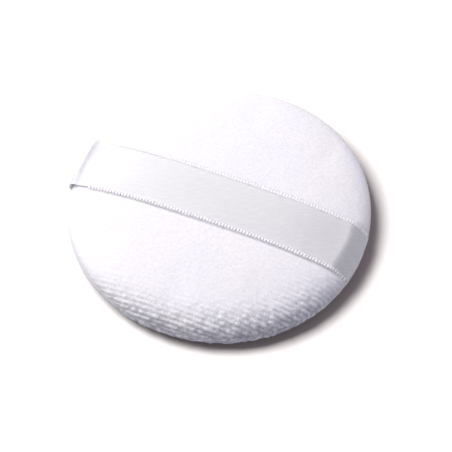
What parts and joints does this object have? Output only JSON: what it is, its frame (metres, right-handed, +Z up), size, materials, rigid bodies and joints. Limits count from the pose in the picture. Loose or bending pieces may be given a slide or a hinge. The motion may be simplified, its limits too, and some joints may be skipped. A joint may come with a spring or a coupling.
{
  "type": "powder puff",
  "caption": "Round white velour powder puff, crowned on both faces over a foam core, with a satin ribbon strap across the back for the fingers.",
  "frame": {"origin": "centre of the powdering face, on the surface that the puff lies on", "axes": "+Z up through the crown and the ribbon, +X along the ribbon, +Y away from the viewer across the ribbon"},
  "size_m": [0.0814, 0.08, 0.0151],
  "materials": {
    "velour": "short matte cotton pile on a ribbed knit",
    "foam": "soft open-cell foam, unfinished",
    "satin": "satin weave with a feather edge, soft sheen",
    "thread": "spun sewing thread"
  },
  "bodies": {
    "pad": {"front_cover": "velour", "back_cover": "velour", "foam_core": "foam", "needle_thread": "thread", "bobbin_thread": "thread", "closing_thread": "thread"},
    "strap": {"ribbon_strap": "satin"}
  },
  "joints": [
    {"name": "strap_lift", "type": "slide", "parent": "pad", "child": "strap", "axis": [0, 0, 1], "range_m": [0, 0.008], "deforming": ["ribbon_strap"]}
  ]
}
